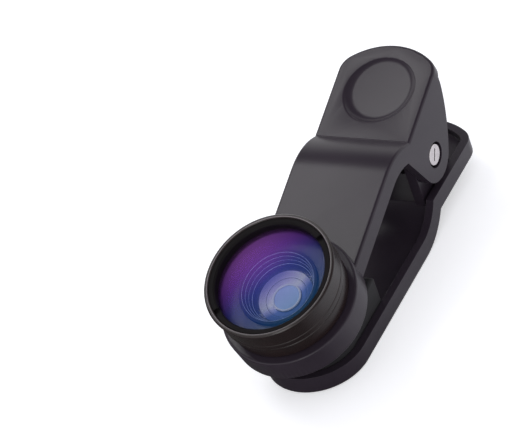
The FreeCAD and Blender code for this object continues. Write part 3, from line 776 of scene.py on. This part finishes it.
@dataclass(frozen=True)
class Refined:
    """A copy of a node's mesh with its triangles joined and its hard edges softened."""

    node: str
    edge_mm: float = 0.08
    weld_m: float = 0.000002
    flat_degrees: float = 0.6
    crease_degrees: float = 28.0
    sharp_degrees: float = 38.0

    def mesh(self, material: Material) -> Mesh:
        """Refines the copy.

        Args:
            material: not used here.

        Returns:
            The mesh.
        """
        work = bmesh.new()
        work.from_mesh(NODES[self.node].data)
        bmesh.ops.remove_doubles(work, verts=work.verts, dist=self.weld_m)
        flat = math.radians(self.flat_degrees)
        bmesh.ops.dissolve_limit(work, angle_limit=flat, verts=work.verts, edges=work.edges)
        holder = linked_object("holder", finished_mesh(work, self.crease_degrees))
        bevel = holder.modifiers.new("soft_edges", "BEVEL")
        bevel.width = self.edge_mm * MM
        bevel.segments = 2
        bevel.limit_method = "ANGLE"
        bevel.angle_limit = math.radians(self.sharp_degrees)
        bevel.harden_normals = True
        return evaluated_mesh(holder)


@dataclass(frozen=True)
class RingStack:
    """Thin rings about the optical axis: the first one's sizes, the wire's, how many and their steps."""

    radius: float
    height: float
    wire: float
    count: int = 1
    radius_step: float = 0.0
    height_step: float = 0.0
    sides: int = 10

    def mesh(self, material: Material) -> Mesh:
        """Grows the rings.

        Args:
            material: the rings' material.

        Returns:
            The mesh.
        """
        return placed(grown_mesh(bpy.data.meshes.new("empty"), ring_stack_tree(), {
            "Count": self.count,
            "Radius": self.radius * MM,
            "Radius Step": self.radius_step * MM,
            "Height": self.height * MM,
            "Height Step": self.height_step * MM,
            "Wire Radius": self.wire * MM,
            "Sides": self.sides,
            "Material": material,
        }))


@dataclass(frozen=True)
class Thread:
    """The crest of a right-hand screw thread: a thin wire half sunk in a cylinder, clear of its ends."""

    radius: float
    end: float
    foot: float
    lead: float = 0.4
    stop: float = 0.2
    pitch: float = 0.6
    wire: float = 0.12
    crest: float = 0.07
    sides: int = 8
    per_turn: int = 72

    def path(self) -> list[Vector]:
        """Draws the crest's line.

        Returns:
            The line's points, in metres.
        """
        low, high = self.end + self.lead, self.foot - self.stop
        turns = (high - low) / self.pitch
        count = int(turns * self.per_turn)
        sunk = self.radius - self.wire + self.crest
        points = []
        for index in range(count + 1):
            angle = math.tau * turns * index / count
            height = low + (high - low) * index / count
            points.append(Vector((sunk * math.cos(angle), sunk * math.sin(angle), height)) * MM)
        return points

    def mesh(self, material: Material) -> Mesh:
        """Returns the crest's mesh, in this material."""
        return placed(wire_mesh(self.path(), self.wire, self.sides, material))


@dataclass(frozen=True)
class Piece:
    """A piece of the clip: its shape, body, slot and finish, and the node that it stands for.

    The body is None for a piece that hangs on no body.
    """

    name: str
    shape: Shape
    body: Body | None
    slot: Slot
    material: Material
    node: str | None = None

    def add(self) -> Object:
        """Adds the piece to the scene, dresses it and, where it has them, hangs it on its body and hides the
        node that it stands for.

        Returns:
            The new object.
        """
        mesh = self.shape.mesh(self.material)
        mesh.name = self.name
        piece = linked_object(self.name, mesh)
        dress(mesh, self.material)
        if self.body:
            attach(piece, self.body.value)
        if self.node:
            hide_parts(self.node)
        LOG.info("%s has %d faces", self.name, len(mesh.polygons))
        return piece


# Sub-assemblies


@dataclass
class Mouldings:
    """A moulded piece of each arm: the arms themselves, or the rubber pads on their jaws."""

    nodes: tuple[str, str]
    ending: str
    slot: Slot
    material: Material
    edge_mm: float

    def build(self) -> None:
        """Dresses the rear piece and the front one."""
        for node, body in zip(self.nodes, (Body.REAR_ARM, Body.FRONT_ARM)):
            shape = Refined(node, self.edge_mm)
            Piece(f"{node}_{self.ending}", shape, body, self.slot, self.material, node).add()


@dataclass
class Spring:
    """The torsion spring: a coil on the rear arm's hubs and a leg under each thumb plate."""

    wire_radius: float = 0.55
    coil_radius: float = 3.5
    coil_pitch: float = 1.2
    whole_turns: int = 6
    leg_reach: float = 12.5
    thumb_step: float = 3.9
    plate_thickness: float = 2.2
    leg_clearance: float = 0.1
    points_per_turn: int = 48
    sides: int = 20

    def coil(self) -> tuple[float, float, float]:
        """Finds how the wire enters and leaves the coil, seen along the pin.

        Returns:
            The angle at the lower leg, that at the upper leg and the length of a leg.
        """
        lift = PIVOT[2] / MM - self.thumb_step - self.plate_thickness - self.wire_radius - self.leg_clearance
        across, along = math.cos(SWING), math.sin(SWING)
        lower = Vector((self.leg_reach, -lift))
        upper = Vector((self.leg_reach * across - lift * along, self.leg_reach * along + lift * across))
        spread = math.acos(self.coil_radius / lower.length)
        start = math.atan2(lower.y, lower.x) - spread
        finish = math.atan2(upper.y, upper.x) + spread
        turns = self.whole_turns + 1 + (start - finish) / math.tau
        return start, start - math.tau * turns, math.sqrt(lower.length ** 2 - self.coil_radius ** 2)

    def width(self) -> float:
        """Returns the length of the coil along the pin."""
        start, finish, _ = self.coil()
        return (start - finish) / math.tau * self.coil_pitch

    def path(self) -> list[Vector]:
        """Draws the wire's line: lower leg, coil, upper leg.

        Returns:
            The line's points in the part's frame, in metres.
        """
        start, finish, leg = self.coil()
        width = self.width()
        count = int((start - finish) / math.tau * self.points_per_turn)
        points = []
        for index in range(count + 1):
            share = index / count
            angle = start + (finish - start) * share
            across, along = self.coil_radius * math.cos(angle), self.coil_radius * math.sin(angle)
            points.append(Vector((width * (share - 0.5), across, along)))
        entry = (points[1] - points[0]).normalized()
        leaving = (points[-1] - points[-2]).normalized()
        path = [points[0] - entry * leg, *points, points[-1] + leaving * leg]
        return [Vector(PIVOT) + point * MM for point in path]

    def mesh(self, material: Material) -> Mesh:
        """Returns the wire's mesh, in this material."""
        return wire_mesh(self.path(), self.wire_radius, self.sides, material)


@dataclass
class Hinge:
    """The pivot pin and the torsion spring on it."""

    plate: Material
    wire: Material
    spring: Spring

    def build(self) -> None:
        """Builds and dresses the pin and the spring."""
        pin = Refined("pivot_pin")
        Piece("pivot_pin_plated", pin, Body.FRONT_ARM, Slot.PIN, self.plate, "pivot_pin").add()
        wound = Piece("wound_spring", self.spring, None, Slot.SPRING, self.wire, "torsion_spring").add()
        half = Vector((self.spring.width() / 2 * MM, 0.0, 0.0))
        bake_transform(wound)


@dataclass
class LensBase:
    """The lens's base: a flanged barrel with the close-up glass behind its aperture."""

    anodised: Material
    # The funnel's finish: its colours paint a lamp's reflection
    polished: Material
    # The edge ring's finish: near white, a painted highlight
    bright: Material
    macro_glass: Material
    # The pane's finish: a pale blue that paints the reflection seen down the lens
    pane_painted_reflection: Material
    bore: float = 6.65
    thread: float = 8.6
    flange: float = 11.8
    socket: float = 9.3
    aperture: float = 3.7
    # A pane painted pale blue as a reflection lies on the close-up glass with a ring painted near white as a
    # highlight at its edge, inside a funnel whose colours paint a lamp's reflection
    pane_radius: float = 2.62
    pane_low: float = 2.14
    pane_top: float = 2.22
    edge_height: float = 2.27
    edge_wire: float = 0.19
    funnel_inner: float = 2.85
    funnel_foot: float = 2.06
    funnel_outer: float = 5.2
    funnel_top: float = 2.8
    funnel_soft: float = 0.1
    # How the funnel clears the barrel: its back, its rest, its neck, its step and its front
    funnel_back: float = 0.25
    funnel_rest: float = 0.03
    funnel_play: float = 0.05
    funnel_step: float = 0.35
    funnel_rise: float = 0.12
    end: float = -2.6
    foot: float = 1.7
    top: float = 4.85
    socket_floor: float = 2.35
    seat: float = 1.75
    chamfer: float = 0.3
    soft: float = 0.12
    macro_radius: float = 6.6
    macro_low: float = 0.6
    macro_seat: float = 1.7
    macro_front_curve: float = 16.0
    macro_back_curve: float = 40.0

    def build(self) -> None:
        """Builds and dresses the base."""
        dress(NODES["macro_retaining_ring"].data, self.anodised)
        body, skin, glass = Body.LENS_BASE, Slot.ANODISED, Slot.GLASS
        edge = RingStack(self.pane_radius, self.edge_height, self.edge_wire)
        thread = Thread(self.thread, self.end, self.foot)
        for piece in (
            Piece("base_barrel_turned", Turned(self.barrel()), body, skin, self.anodised, "base_barrel"),
            Piece("macro_glass", Turned(self.glass()), body, glass, self.macro_glass, "macro_element"),
            Piece("aperture_edge", edge, body, skin, self.bright),
            Piece("aperture_funnel", Turned(self.funnel()), body, skin, self.polished),
            Piece("aperture_pane", Turned(self.pane()), body, glass, self.pane_painted_reflection),
            Piece("base_thread_ridges", thread, body, skin, self.anodised),
        ):
            piece.add()

    def barrel(self) -> Section:
        """Returns the section of the barrel."""
        chamfer, soft = self.chamfer, self.soft
        return [
            (self.bore, self.end),
            (self.thread - chamfer, self.end, CRISP),
            (self.thread, self.end + chamfer, CRISP),
            (self.thread, self.foot),
            (self.flange - chamfer, self.foot, soft),
            (self.flange, self.foot + chamfer, soft),
            (self.flange, self.top - chamfer, soft),
            (self.flange - chamfer, self.top, soft),
            (self.socket, self.top, CRISP),
            (self.socket, self.socket_floor),
            (self.aperture + chamfer, self.socket_floor, KEEN),
            (self.aperture, self.seat + chamfer, KEEN),
            (self.aperture, self.seat),
            (self.bore, self.seat),
        ]

    def funnel(self) -> Section:
        """Returns the section of the funnel round the aperture, whose colours paint a lamp's reflection."""
        low, floor = self.seat + self.funnel_back, self.socket_floor + self.funnel_rest
        neck = self.aperture - self.funnel_play
        return [
            (self.funnel_inner, low),
            (neck, low),
            (self.aperture + self.funnel_step, floor),
            (self.funnel_outer, floor),
            (self.funnel_outer, self.funnel_top),
            (neck, self.funnel_foot + self.funnel_rise, self.funnel_soft),
            (self.funnel_inner, self.funnel_foot),
        ]

    def pane(self) -> Section:
        """Returns the section of the flat pane in the aperture."""
        low, top = self.pane_low, self.pane_top
        return [(0.0, low), (self.pane_radius, low), (self.pane_radius, top), (0.0, top)]

    def glass(self) -> Section:
        """Returns the section of the close-up glass, bulged on both sides."""
        return [
            *reversed(ground_face(self.macro_radius, self.macro_low, -self.macro_back_curve)),
            (self.macro_radius, self.macro_seat),
            *ground_face(self.aperture, self.macro_seat, self.macro_front_curve),
        ]


@dataclass
class WideAngleHead:
    """The wide-angle head: barrel, front meniscus, spanner ring, stepped spacer and rear glass."""

    anodised: Material
    blasted: Material
    # Pale grey: painted highlights on the rim's inner edge and the wall's foot
    edge_painted_highlight: Material
    # Blue white: painted highlights on the spacer's step edges
    spacer_painted_highlight: Material
    matt_black: Material
    front_glass: Material
    rear_glass: Material
    lip: float = 6.6
    throat: float = 7.6
    thread: float = 9.2
    shoulder: float = 11.5
    wall: float = 12.2
    rim: float = 12.5
    bore: float = 11.7
    end: float = 2.5
    throat_floor: float = 2.95
    foot: float = 4.9
    wall_low: float = 5.35
    groove_height: float = 6.5
    groove_depth: float = 0.12
    rim_low: float = 9.8
    top: float = 10.6
    chamfer: float = 0.25
    glass_seat: float = 5.9
    seat_gap: float = 0.02
    soft: float = 0.1
    glass_radius: float = 11.65
    glass_crown: float = 9.95
    glass_front_curve: float = 40.0
    glass_back_curve: float = 11.0
    glass_back_radius: float = 8.0
    rear_radius: float = 7.55
    rear_face: float = 3.75
    rear_bulge: float = 5.95
    rear_curve: float = 22.0
    # Wire radii of the thin rings painted as highlights on the rim and the wall
    rim_highlight_wire: float = 0.1
    wall_highlight_wire: float = 0.08
    # Thin rings on the spacer's step edges, painted blue white as highlights
    spacer_steps: RingStack = RingStack(5.94, 4.014, 0.045, count=4, radius_step=0.35, height_step=0.766)

    def build(self) -> None:
        """Builds and dresses the head."""
        for node in ("light_baffle", "element_spacer"):
            dress(NODES[node].data, self.matt_black)
        body, skin, glass = Body.WIDE_HEAD, Slot.ANODISED, Slot.GLASS
        spanner = Refined("front_retaining_ring")
        thread = Thread(self.thread, self.end, self.foot)
        # Thin rings painted pale grey as highlights along the rim's inner edge and the wall's foot
        rim_edge = RingStack(self.bore + self.chamfer, self.top - self.rim_highlight_wire, self.rim_highlight_wire)
        wall_edge = RingStack(self.wall - self.wall_highlight_wire, self.wall_low + CRISP, self.wall_highlight_wire)
        for piece in (
            Piece("head_barrel_turned", Turned(self.barrel()), body, skin, self.anodised, "head_barrel"),
            Piece("front_glass", Turned(self.meniscus()), body, glass, self.front_glass, "front_element"),
            Piece("rear_glass", Turned(self.rear_lens()), body, glass, self.rear_glass, "rear_element"),
            Piece("spanner_ring", spanner, body, skin, self.blasted, "front_retaining_ring"),
            Piece("spacer_edges", self.spacer_steps, body, skin, self.spacer_painted_highlight),
            Piece("rim_edge", rim_edge, body, skin, self.edge_painted_highlight),
            Piece("wall_edge", wall_edge, body, skin, self.edge_painted_highlight),
            Piece("head_thread_ridges", thread, body, skin, self.anodised),
        ):
            piece.add()

    def barrel(self) -> Section:
        """Returns the section of the barrel, with a fine groove round its wall."""
        chamfer, groove, soft = self.chamfer, self.groove_depth, self.soft
        return [
            (self.lip, self.end),
            (self.thread - chamfer, self.end, CRISP),
            (self.thread, self.end + chamfer, CRISP),
            (self.thread, self.foot),
            (self.shoulder, self.foot, soft),
            (self.wall, self.wall_low, soft),
            (self.wall, self.groove_height - groove, KEEN),
            (self.wall - groove, self.groove_height, KEEN),
            (self.wall, self.groove_height + groove, KEEN),
            (self.wall, self.rim_low, CRISP),
            (self.rim, self.rim_low + self.rim - self.wall, soft),
            (self.rim, self.top - chamfer, soft),
            (self.rim - chamfer, self.top, soft),
            (self.bore + chamfer, self.top, soft),
            (self.bore, self.top - chamfer, soft),
            (self.bore, self.glass_seat),
            (self.throat, self.glass_seat, CRISP),
            (self.throat, self.throat_floor),
            (self.lip, self.throat_floor),
        ]

    def meniscus(self) -> Section:
        """Returns the section of the front glass: bulged in front, hollow behind."""
        low = self.glass_seat + self.seat_gap
        edge_drop = self.glass_front_curve - math.sqrt(self.glass_front_curve ** 2 - self.glass_radius ** 2)
        return [
            *reversed(ground_face(self.glass_back_radius, low, self.glass_back_curve)),
            (self.glass_radius, low),
            *ground_face(self.glass_radius, self.glass_crown - edge_drop, self.glass_front_curve),
        ]

    def rear_lens(self) -> Section:
        """Returns the section of the rear glass: flat behind, bulged in front."""
        low = self.throat_floor + self.seat_gap
        return [
            (0.0, low),
            (self.rear_radius, low),
            (self.rear_radius, self.rear_face),
            *ground_face(self.rear_bulge, self.rear_face, self.rear_curve),
        ]


@dataclass
class Studio:
    """The floor, the world, the lamps and the camera."""

    # The camera in the front arm's own frame
    camera_place: Triple = (272.5, -208.9, 434.0)
    camera_right: Triple = (0.8606, 0.3108, -0.4034)
    camera_up: Triple = (-0.078, 0.8633, 0.4987)
    camera_back: Triple = (0.5033, -0.3977, 0.7672)
    sensor_mm: float = 36.0
    lens_mm: float = 213.8
    floor_mm: float = 4000.0
    middle_mm: Triple = (0.0, 18.0, 14.0)
    paper: str = "#f2f2f2"
    glow: float = 0.45
    glow_in_gloss: float = 0.15
    # A patch of painted dark reflection on the floor, seen in gloss alone, lies where x + y falls between
    # these and below
    painted_dark_reflection: str = "#141314"
    dark_reflection_near_mm: float = 30.0
    dark_reflection_far_mm: float = 0.0
    soft_light: str = "#f6f7ff"
    soft_strength: float = 0.8
    # What gloss sees of the world, from the horizon up
    sky: Stops = (
        (0.0, "#ffffff"), (0.45, "#ffffff"), (0.57, "#77777b"), (0.66, "#2c2c30"), (1.0, "#4c4c50"),
    )

    def build(self) -> None:
        """Sets the studio up: a large lamp over the left shoulder and a weak one low on the right."""
        self.make_camera()
        self.make_floor()
        self.make_world()
        self.soft_box("key", (-0.525, 0.146, 0.839), distance=0.9, size=0.36, power=1.2)
        self.soft_box("fill", (0.2, -0.92, 0.33), distance=0.9, size=0.3, power=0.8)
        bpy.context.scene.view_settings.view_transform = "Standard"

    def make_camera(self) -> None:
        """Adds the camera at the photograph's viewing angle."""
        data = bpy.data.cameras.new("camera")
        data.sensor_width = self.sensor_mm
        data.sensor_fit = "HORIZONTAL"
        data.lens = self.lens_mm
        data.clip_start = 0.01
        data.clip_end = 20.0
        camera = linked_object("camera", data)
        turn = Matrix((self.camera_right, self.camera_up, self.camera_back)).transposed().to_4x4()
        place = Matrix.Translation(Vector(self.camera_place) * MM)
        camera.matrix_world = FRONT @ place @ turn
        bpy.context.scene.camera = camera

    def make_floor(self) -> None:
        """Adds a plain white floor under the clip."""
        half = self.floor_mm / 2 * MM
        work = bmesh.new()
        sides = ((-1, -1), (1, -1), (1, 1), (-1, 1))
        work.faces.new([work.verts.new((x * half, y * half, 0.0)) for x, y in sides])
        floor = linked_object("floor", finished_mesh(work))
        floor.data.materials.append(self.floor_material())

    def seen(self, tree: NodeTree, in_gloss: float = 0.0) -> Node:
        """Adds nodes that are one for rays from the camera and through glass.

        Args:
            tree: the tree that gets the nodes.
            in_gloss: the value for glossy rays.

        Returns:
            The node that gives the value.
        """
        path = add_node(tree, "ShaderNodeLightPath").outputs
        glossy = add_node(tree, "ShaderNodeMath", {
            0: path["Is Glossy Ray"], 1: in_gloss,
        }, operation="MULTIPLY")
        direct = add_node(tree, "ShaderNodeMath", {
            0: path["Is Camera Ray"], 1: path["Is Transmission Ray"],
        }, operation="MAXIMUM")
        return add_node(tree, "ShaderNodeMath", {0: direct, 1: glossy}, operation="MAXIMUM")

    def floor_material(self) -> Material:
        """Makes the floor's white, which keeps the clip's shadow.

        Returns:
            The material, with the painted dark reflection in it.
        """
        material, tree = blank_material("white_paper_sweep")
        place = add_node(tree, "ShaderNodeTexCoord").outputs["Object"]
        ways = add_node(tree, "ShaderNodeSeparateXYZ", {"Vector": place}).outputs
        across = add_node(tree, "ShaderNodeMath", {0: ways["X"], 1: ways["Y"]}, operation="ADD")
        near = add_node(tree, "ShaderNodeMapRange", {
            "Value": across, "From Min": self.dark_reflection_near_mm * MM, "From Max": self.dark_reflection_far_mm * MM,
        })
        # Glossy rays see the floor painted dark here, so the barrel's reflection is painted darker
        in_gloss = add_node(tree, "ShaderNodeLightPath").outputs["Is Glossy Ray"]
        painted_dark_reflection = add_node(tree, "ShaderNodeMath", {0: near, 1: in_gloss}, operation="MULTIPLY")
        colour = add_node(tree, "ShaderNodeMix", {
            0: painted_dark_reflection, 6: linear(self.paper), 7: linear(self.painted_dark_reflection),
        }, data_type="RGBA").outputs[2]
        paper = add_node(tree, "ShaderNodeBsdfDiffuse", {"Color": colour})
        glow = add_node(tree, "ShaderNodeEmission", {"Strength": self.glow})
        lit = add_node(tree, "ShaderNodeAddShader", {0: paper, 1: glow})
        seen = self.seen(tree, self.glow_in_gloss)
        mixed = add_node(tree, "ShaderNodeMixShader", {0: seen, 1: paper, 2: lit})
        add_node(tree, "ShaderNodeOutputMaterial", {"Surface": mixed})
        return material

    def make_world(self) -> None:
        """Gives the world a soft light, a white look and, for gloss, a sky that darkens overhead."""
        world = bpy.data.worlds.new("studio")
        world.use_nodes = True
        tree = world.node_tree
        tree.nodes.clear()
        way = add_node(tree, "ShaderNodeTexCoord").outputs["Generated"]
        height = add_node(tree, "ShaderNodeSeparateXYZ", {"Vector": way}).outputs["Z"]
        ramp = add_node(tree, "ShaderNodeValToRGB", {"Fac": height})
        fill_ramp(ramp, self.sky)
        soft = add_node(tree, "ShaderNodeBackground", {
            "Color": linear(self.soft_light), "Strength": self.soft_strength,
        })
        white = add_node(tree, "ShaderNodeBackground", {"Color": linear("#ffffff")})
        sky = add_node(tree, "ShaderNodeBackground", {"Color": ramp})
        direct = add_node(tree, "ShaderNodeMixShader", {0: self.seen(tree), 1: soft, 2: white})
        in_gloss = add_node(tree, "ShaderNodeLightPath").outputs["Is Glossy Ray"]
        mixed = add_node(tree, "ShaderNodeMixShader", {0: in_gloss, 1: direct, 2: sky})
        add_node(tree, "ShaderNodeOutputWorld", {"Surface": mixed})
        bpy.context.scene.world = world

    def soft_box(self, name: str, way: Triple, distance: float, size: float, power: float) -> None:
        """Adds a round area lamp that faces the clip.

        Args:
            name: name of the lamp.
            way: the direction in which it stands, seen from the clip.
            distance: how far away it stands, in metres.
            size: its diameter, in metres.
            power: its power, in watts.
        """
        data = bpy.data.lights.new(name, "AREA")
        data.shape = "DISK"
        data.size = size
        data.energy = power
        lamp = linked_object(name, data)
        towards = Vector(way).normalized()
        lamp.location = Vector(self.middle_mm) * MM + towards * distance
        lamp.rotation_mode = "QUATERNION"
        lamp.rotation_quaternion = (-towards).to_track_quat("-Z", "Y")


def main() -> None:
    """Builds the clip's looks and the studio."""
    logging.basicConfig(level=logging.INFO, format="%(message)s")
    Studio().build()
    anodised = AnodisedAluminium().build()
    blasted = AnodisedAluminium(
        "blasted_anodised_aluminium", "#131112", "#1b1718", 0.5, others=(("Specular IOR Level", 0.1),),
    ).build()
    # Painted highlights: pale grey on the head's rim and wall, blue white on the spacer's steps
    edge_painted_highlight = PaintedHighlight("painted_highlight_edge", "#6e6668", "#9c9496").build()
    spacer_painted_highlight = PaintedHighlight("spacer_edge_painted_highlight", "#7c8abc", "#d4def8").build()
    # A shallow cone of filmed aluminium whose ramp paints a lamp's reflection: lavender and white on one
    # side and dark blue on the other
    polished = FilmWithPaintedReflection("cone_painted_lamp_reflection", (
        (0.0, "#9a90d0"), (0.22, "#e6dcfa"), (0.4, "#ffffff"), (0.5, "#c8c8f0"), (0.62, "#5a74c0"),
        (1.0, "#1c4480"),
    ), 5.0).build()
    # A pale blue pane colour: a painted reflection deep in the lens
    pane_painted_reflection = FilmWithPaintedReflection("pale_blue_pane_painted_reflection", ((0.0, "#a4b2de"), (1.0, "#98b8de")), 3.0).build()
    # Light violet to darker teal across the lens: the coating's reflection painted by place, lighter on one
    # side
    front_glass = CoatedGlass(
        "violet_to_blue_coated_glass",
        ((0.0, "#dc84f8"), (0.3, "#a45ee6"), (0.52, "#5863d0"), (0.74, "#3f6cc4"), (1.0, "#337ca4")),
        reach_mm=10.7, roughness=0.5, centre_mm=-30.05, film_share=0.28,
    ).build()
    # Pale lavender to blue across the glass: a painted reflection, lighter on one side
    rear_glass = CoatedGlass(
        "lavender_coated_glass", ((0.0, "#f0e4ff"), (0.5, "#cfc8f8"), (1.0, "#6f8fd0")),
        reach_mm=6.0, sphere_mm=22.0, centre_mm=-17.43, film_share=0.04,
    ).build()
    macro_glass = CoatedGlass(
        "pale_blue_coated_glass", ((0.0, "#a8c0f0"), (1.0, "#94bcf0")),
        reach_mm=4.0, roughness=0.5, sphere_mm=16.0, centre_mm=-13.87,
    ).build()
    Mouldings(
        ("rear_arm", "front_arm"), "moulding", Slot.PLASTIC, MouldedPlastic().build(), edge_mm=0.18,
    ).build()
    Mouldings(
        ("rear_jaw_pad", "front_jaw_pad"), "rubber", Slot.RUBBER, SiliconeRubber().build(), edge_mm=0.2,
    ).build()
    Hinge(NickelPlate().build(), SpringSteel().build(), Spring()).build()
    dress(NODES["thread_insert"].data, anodised)
    # The base's edge ring is painted near white as a highlight
    LensBase(anodised, polished, PaintedHighlight().build(), macro_glass, pane_painted_reflection).build()
    matt_black = MattBlack().build()
    WideAngleHead(anodised, blasted, edge_painted_highlight, spacer_painted_highlight, matt_black, front_glass, rear_glass).build()


if __name__ == "__main__":
    main()
